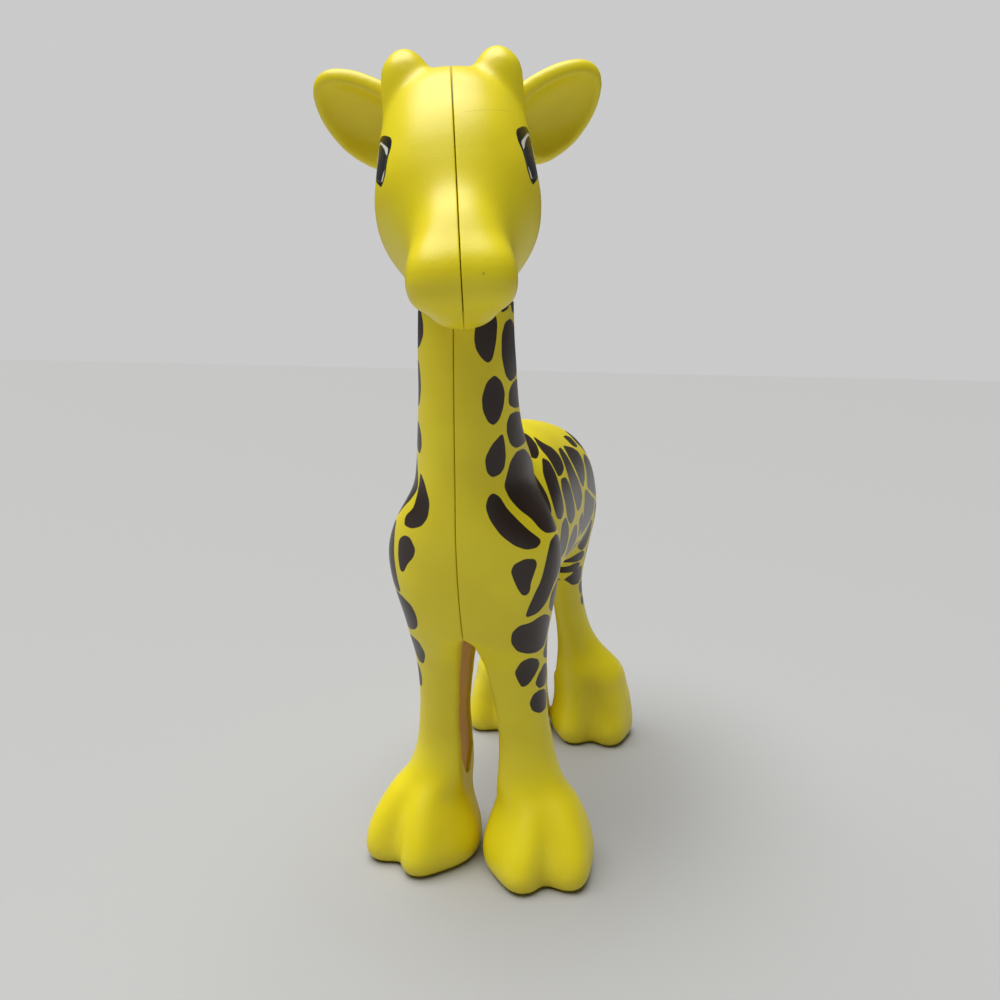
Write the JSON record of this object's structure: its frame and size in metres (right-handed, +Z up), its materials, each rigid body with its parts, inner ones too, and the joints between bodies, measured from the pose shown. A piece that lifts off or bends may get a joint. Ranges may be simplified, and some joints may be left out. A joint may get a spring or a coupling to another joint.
{
  "type": "toy giraffe figure",
  "caption": "Moulded plastic toy giraffe in two shells, with pegged ears and a head that swivels on the neck; foot sockets fit brick studs.",
  "frame": {"origin": "middle of the bounding box footprint, at the height of the soles", "axes": "+Z up, the giraffe's chest faces -Y, its own left side is +X; the head is stored turned 17 degrees to its left, as pictured"},
  "size_m": [0.034, 0.0846, 0.1035],
  "materials": {
    "yellow_plastic": "satin moulded yellow with dark brown printed patches and printed eyes",
    "amber_plastic": "satin moulded yellow, slightly deeper in tone",
    "natural_plastic": "plain natural"
  },
  "bodies": {
    "body": {"body_shell_left": "yellow_plastic", "body_shell_right": "yellow_plastic", "front_leg_inner_cover": "amber_plastic", "rear_leg_inner_cover": "amber_plastic", "neck_swivel_post": "natural_plastic"},
    "head": {"head_shell_left": "yellow_plastic", "head_shell_right": "yellow_plastic", "ear_left": "yellow_plastic", "ear_right": "yellow_plastic"}
  },
  "joints": [
    {"name": "head_turn", "type": "hinge", "parent": "body", "child": "head", "pos_m": [0.00119, -0.02408, 0.0756], "axis": [0, -0.1994, 0.9799], "continuous": true}
  ]
}
